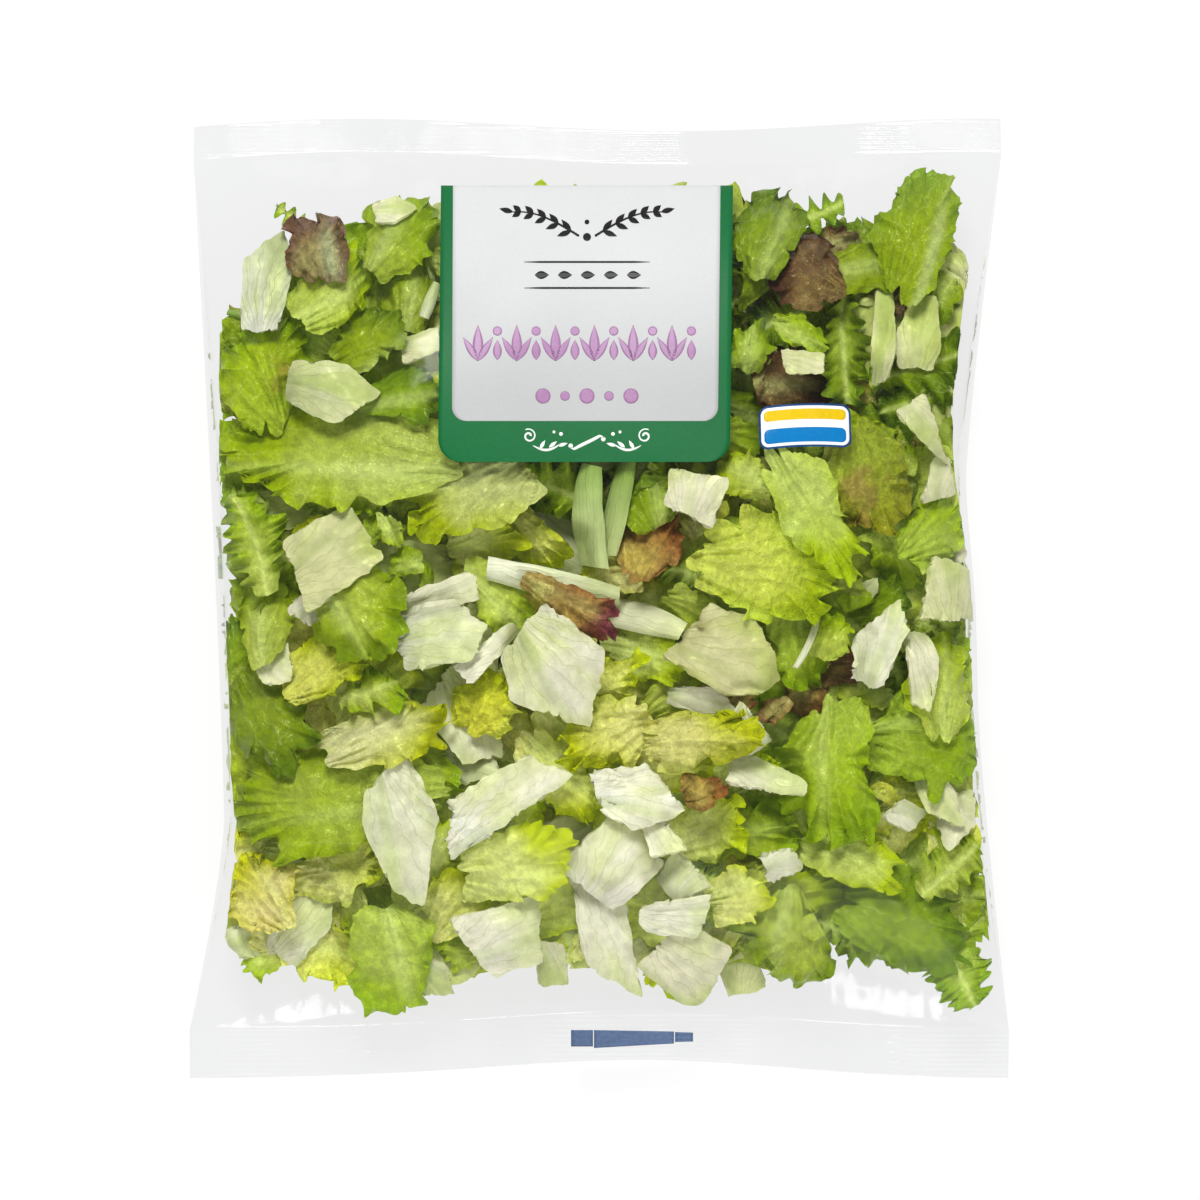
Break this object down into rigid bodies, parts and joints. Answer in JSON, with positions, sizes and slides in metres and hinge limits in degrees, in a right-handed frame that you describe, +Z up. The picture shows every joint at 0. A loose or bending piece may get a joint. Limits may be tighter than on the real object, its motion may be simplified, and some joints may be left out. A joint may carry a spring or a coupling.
{
  "type": "bag of salad leaves",
  "caption": "Clear sealed pillow bag of mixed cut salad leaves with a printed label panel, lying on its back with flat crimped seals at both ends.",
  "frame": {"origin": "on the resting plane, under the middle of the bag", "axes": "+Z up out of the printed side, +Y towards the bag's top end above the label, +X towards the bag's right side as its label is read"},
  "size_m": [0.2502, 0.2936, 0.0585],
  "materials": {
    "clear_film": "clear glossy film",
    "salad_leaves": "moist leaf, from cream ribs to deep green and red-brown tips",
    "label_print": "opaque ink printed on the film"
  },
  "bodies": {
    "root": {"salad_bag": "clear_film"}
  },
  "joints": []
}
